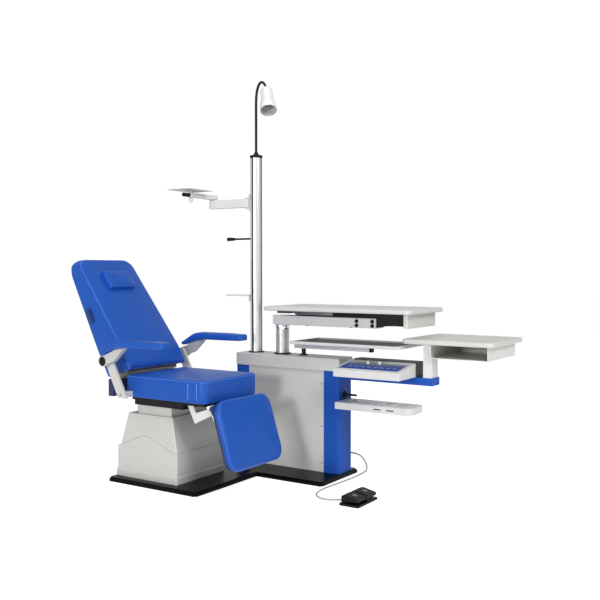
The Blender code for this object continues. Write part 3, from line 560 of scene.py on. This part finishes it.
def add_chair_details():
    for side, word in SIDES:
        pivot = Vector(ARMREST_PIVOT) * Vector((1, side, 1))
        out = (0, side, 0)
        turned("pivot_ring_" + word, [(0.0258, 0.0002), (0.0310, 0.0002), (0.0310, 0.0025),
                                      (0.0298, 0.0042), (0.0278, 0.0044), (0.0264, 0.0035),
                                      (0.0258, 0.0002)],
               pivot, out, "armrest_" + word, "grey_trim")
        turned("pivot_cap_" + word, [(0, 0.0062), (0.0150, 0.0058), (0.0235, 0.0042),
                                     (0.0256, 0.0022), (0.0256, 0.0003), (0, 0.0003)],
               pivot, out, "armrest_" + word, "black_plastic")
        arm = [(0.3050, 0.4935), (0.3485, 0.4935), (0.3672, 0.4448), (0.4560, 0.4735),
               (0.4660, 0.4790), (0.4700, 0.4700), (0.4810, 0.4425), (0.3596, 0.3865)]
        for face in (0.1955, 0.2043):
            low, high = sorted((side * (face - 0.0014), side * (face + 0.0002)))
            strut(f"legrest_arm_skin_{word}_{face}", arm, low, high, "seat", "light_enamel",
                  edge=0.0004)
        strut("legrest_arm_edge_" + word,
              [(0.3594, 0.3850), (0.4815, 0.4415), (0.4800, 0.4450), (0.3590, 0.3895)],
              *sorted((side * 0.1957, side * 0.2043)), "seat", "light_enamel", edge=0.0004)
        slab("bar_end_" + word, (-0.1005, min(side * 0.300, side * 0.225), 0.5045),
             (-0.0635, max(side * 0.300, side * 0.225), 0.5375), "seat", "grey_trim")
        screw_head("upright_screw_" + word, (-0.083, side * 0.3182, 0.521), (0, side, 0), 0.007,
                   "seat", "grey_enamel", "steel_screw")
    plate("side_tab", (0.094, 0.024, 0.0022), (-0.407, -0.2425, 0.954), (-0.48, 0, 0.877),
          (0, -1, 0), "backrest", "navy_board", corner=0.010)
    strut("backrest_apron_skin",
          [(-0.2762, 0.4890), (-0.2762, 0.5860), (-0.2500, 0.5930), (-0.2345, 0.5930),
           (-0.2345, 0.4890)], -0.2262, 0.2262, "backrest", "navy_board", edge=0.003)
    # Ridges up the seat's front corners, drawn as stitched folds in the lighter welt blue:
    # painted highlights of the rounded corners
    for side, word in SIDES:
        corner = 0.412 + 0.044 * cos(radians(45)), 0.197 + 0.044 * sin(radians(45))
        for i, (x, y) in enumerate(((0.345, 0.2415), (0.406, 0.2410), corner)):
            rise = [(x, side * y, 0.519 + 0.0075 * k) for k in range(13)]
            tube(f"seat_corner_highlight_{word}_{i}", rise, 0.0042, "seat", "blue_vinyl", "welt_painted_highlight")


def add_stand_details():
    turned("column_collar", [(0.0392, 0.7065), (0.0490, 0.7065), (0.0490, 0.7100),
                             (0.0460, 0.7125), (0.0392, 0.7125), (0.0392, 0.7065)],
           (*COLUMN, 0), (0, 0, 1), "stand", "black_plastic", steps=56)
    turned("lift_collar", [(0.0422, 0.7065), (0.0525, 0.7065), (0.0525, 0.7105),
                           (0.0490, 0.7135), (0.0422, 0.7135), (0.0422, 0.7065)],
           (*TABLE_LIFT, 0), (0, 0, 1), "stand", "black_plastic", steps=56)
    turned("lift_chrome_ring", [(0.0447, 0.8615), (0.0453, 0.8640), (0.0453, 0.8870),
                                (0.0447, 0.8885), (0.0444, 0.8750), (0.0447, 0.8615)],
           (*TABLE_LIFT, 0), (0, 0, 1), "table_lift_body", "satin_aluminium", "chrome", 56)
    for i, z in enumerate((0.550, 0.300, 0.080)):
        screw_head(f"panel_screw_{i}", (0.732, 0.5133, z), (0, -1, 0), 0.0040, "stand",
                   "grey_enamel", "black_metal")
    for i, (y, z) in enumerate(((0.588, 0.520), (0.541, 0.495), (0.600, 0.466))):
        screw_head(f"hook_screw_{i}", (0.8515, y, z), (1, 0, 0), 0.0045, "stand",
                   "blue_enamel", "steel_screw")
    # Dark plates on the shelf top where its slots are: painted shade in the slots.
    for i, (x, y, wide, deep) in enumerate(((1.1325, 0.488, 0.052, 0.021),
                                            (1.2335, 0.488, 0.054, 0.021),
                                            (1.1575, 0.5775, 0.052, 0.082),
                                            (1.2350, 0.5775, 0.057, 0.082))):
        plate(f"shelf_slot_shade_{i}", (wide, deep, 0.0015), (x, y, 0.4442), (1, 0, 0), (0, 0, 1),
              "stand", "light_plastic", "dark_plastic", corner=0.008, edge=0.0004)
    # Dark marks on the shelf's front at its slots: painted shade in the slots.
    for i, x in enumerate((1.128, 1.208)):
        slab(f"shelf_front_slot_shade_{i}", (x - 0.022, 0.4594, 0.4365), (x + 0.022, 0.4600, 0.4435),
             "stand", "light_plastic", "dark_plastic", edge=0.0002)
    slab("tray_mat", (0.568, 0.461, 0.7903), (1.247, 0.757, 0.7925), "tray", "light_plastic",
         "mat_rubber", edge=0.0006, corner=0.010)
    slab("tray_bar_cap", (1.0153, 0.5740, 0.7460), (1.032, 0.6060, 0.7688), "tray_arm",
         "black_plastic", edge=0.002)
    # Black strips in the column's four grooves: painted shade in the grooves.
    for i in range(4):
        quarter = radians(90 * i)
        out = Vector((cos(quarter), sin(quarter), 0))
        plate(f"column_slot_shade_{i}", (1.215, 0.0094, 0.0022),
              Vector((*COLUMN, 1.3165)) + out * 0.0340, (0, 0, 1), out, "stand",
              "black_plastic", edge=0.0003)
    for i, x in enumerate((0.600, 0.900)):
        screw_head(f"arm_foot_screw_{i}", (x, 0.560, 0.8888), (0, 0, -1), 0.008,
                   "table_arm_body", "satin_aluminium", "steel_screw")


def add_lamp_inner_shade():
    """A thin grey sheet just inside the white lamp shade: painted shade on the shade's inside."""
    axis = Vector(LAMP_AXIS).normalized()
    skin = [(0.0493, 0.1858), (0.0493, 0.1700), (0.0483, 0.1500), (0.0448, 0.1290),
            (0.0383, 0.1050), (0.0358, 0.0890), (0.0358, 0.0340), (0.0298, 0.0204)]
    back = [(r - 0.0010, h) for r, h in reversed(skin)]
    turned("lamp_inner_shade_sheet", skin + [(0.0142, 0.0204), (0.0142, 0.0214)] + back + skin[:1],
           Vector(LAMP_TIP) + axis * 0.0028, axis, "lamp", "white_enamel",
           "lamp_inside_painted_shade", 48)


def add_table_details():
    for i, x in enumerate((0.951, 1.054)):
        for j, z in enumerate((0.928, 0.9035)):
            screw_head(f"arm_screw_{i}_{j}", (x, 0.5398, z), (0, -1, 0), 0.0118,
                       "table_arm_body")
    slab("table_block_left", (0.440, 0.470, 0.9640), (0.528, 0.700, 0.9828), "table",
         "black_frame", "dark_plastic")
    slab("table_rail_near", (0.535, 0.520, 0.9550), (0.800, 0.540, 0.9828), "table",
         "black_frame", "rail_steel")
    slab("table_rail_far", (0.535, 0.645, 0.9550), (1.290, 0.665, 0.9828), "table",
         "black_frame", "rail_steel")
    slab("table_rail_dark", (0.802, 0.518, 0.9520), (1.296, 0.542, 0.9828), "table",
         "black_frame")
    turned("beam_ring", [(0.0060, 0), (0.0110, 0), (0.0118, 0.0015), (0.0110, 0.0030),
                         (0.0062, 0.0030), (0.0060, 0)],
           (1.204, 0.5462, 0.9680), (0, -1, 0), "table", "satin_aluminium", steps=32)
    screw_head("beam_screw", (1.268, 0.5462, 0.9210), (0, -1, 0), 0.0055, "table",
               "satin_aluminium", "steel_screw")


def add_panel_details():
    slope = Vector((0, 0.9876, 0.1572))
    out = Vector((0, -0.1572, 0.9876))
    start = Vector((0, 0.340, 0.674))

    def on_slope(name, x0, x1, s0, s1, low, high, slot, mat, corner=0.0):
        centre = start + slope * (s0 + s1) / 2 + out * low + Vector(((x0 + x1) / 2, 0, 0))
        plate(name, (x1 - x0, s1 - s0, high - low), centre, (1, 0, 0), out, "stand", slot, mat,
              corner=corner, edge=min(0.0004, (high - low) / 3))

    on_slope("membrane", 0.938, 1.306, 0.014, 0.112, 0.0002, 0.0012, "light_plastic",
             "membrane_blue", 0.004)
    on_slope("membrane_band", 0.938, 1.306, 0.1125, 0.150, 0.0002, 0.0010, "light_plastic",
             "membrane_strip", 0.003)
    for i in range(8):
        x = 0.980 + i * 0.0395
        on_slope(f"key_{i}", x, x + 0.024, 0.050, 0.066, 0.0013, 0.0019, "light_plastic",
                 "membrane_strip", 0.003)
        on_slope(f"key_mark_{i}", x + 0.006, x + 0.018, 0.055, 0.061, 0.0020, 0.0023,
                 "light_plastic", "print_pale", 0.001)


def add_foot_switch_details():
    for word, y0 in (("near", 0.040), ("far", 0.150)):
        plate("pedal_label_" + word, (0.024, 0.026, 0.0007), (1.196, y0 + 0.047, 0.0499),
              (1, 0, -0.2162), (0.2162, 0, 1), f"foot_pedal_{word}_body", "black_plastic",
              "grey_label", corner=0.003, edge=0.0002)


add_chair_details()
add_stand_details()
add_lamp_inner_shade()
add_table_details()
add_panel_details()
add_foot_switch_details()


# ---------------------------------------------------------------- studio

def add_light(name, where, target, power, size):
    data = bpy.data.lights.new(name, "AREA")
    data.energy = power
    data.shape = "RECTANGLE"
    data.size, data.size_y = size
    lamp = bpy.data.objects.new(name, data)
    lamp.location = where
    aim = Vector(target) - Vector(where)
    lamp.rotation_euler = aim.to_track_quat("-Z", "Y").to_euler()
    bpy.context.scene.collection.objects.link(lamp)


def by_ray(tree, socket, seen, mirrored, lit):
    """Feeds socket one strength where the camera sees it, one in reflections, one as light."""
    path = tree.nodes.new("ShaderNodeLightPath")
    indirect = tree.nodes.new("ShaderNodeMapRange")
    indirect.inputs["To Min"].default_value = lit
    indirect.inputs["To Max"].default_value = mirrored
    tree.links.new(path.outputs["Is Glossy Ray"], indirect.inputs["Value"])
    strength = tree.nodes.new("ShaderNodeMapRange")
    strength.inputs["To Max"].default_value = seen
    tree.links.new(indirect.outputs["Result"], strength.inputs["To Min"])
    tree.links.new(path.outputs["Is Camera Ray"], strength.inputs["Value"])
    tree.links.new(strength.outputs["Result"], socket)


def add_studio():
    floor_mat = finish("studio_floor", (0.90, 0.90, 0.90), 0.8, shade=0.01, grain_scale=20,
                       bump=0.01)
    glow = floor_mat.node_tree.nodes["Principled BSDF"]
    glow.inputs["Emission Color"].default_value = (1, 1, 1, 1)
    by_ray(floor_mat.node_tree, glow.inputs["Emission Strength"], 0.70, 0.40, 0.15)
    bm = bmesh.new()
    bmesh.ops.create_grid(bm, x_segments=2, y_segments=2, size=40)
    mesh = mesh_from(bm, "floor")
    mesh.materials.append(floor_mat)
    floor = bpy.data.objects.new("floor", mesh)
    floor.location = (0, 0, -0.0005)
    bpy.context.scene.collection.objects.link(floor)

    world = bpy.data.worlds.new("studio")
    bpy.context.scene.world = world
    world.use_nodes = True
    tree = world.node_tree
    room = tree.nodes["Background"]
    room.inputs["Color"].default_value = (1, 1, 1, 1)
    by_ray(tree, room.inputs["Strength"], 1.05, 0.70, 0.28)

    middle = (0.5, 0.3, 0.8)
    add_light("front", (0.9, -8.0, 1.9), middle, 240, (1.5, 1.5))
    add_light("right", (7.4, -2.8, 5.4), middle, 370, (3.0, 3.0))
    add_light("top", (0.4, -0.2, 6.0), middle, 50, (3.4, 3.0))
    bpy.context.scene.view_settings.view_transform = "Standard"


add_studio()
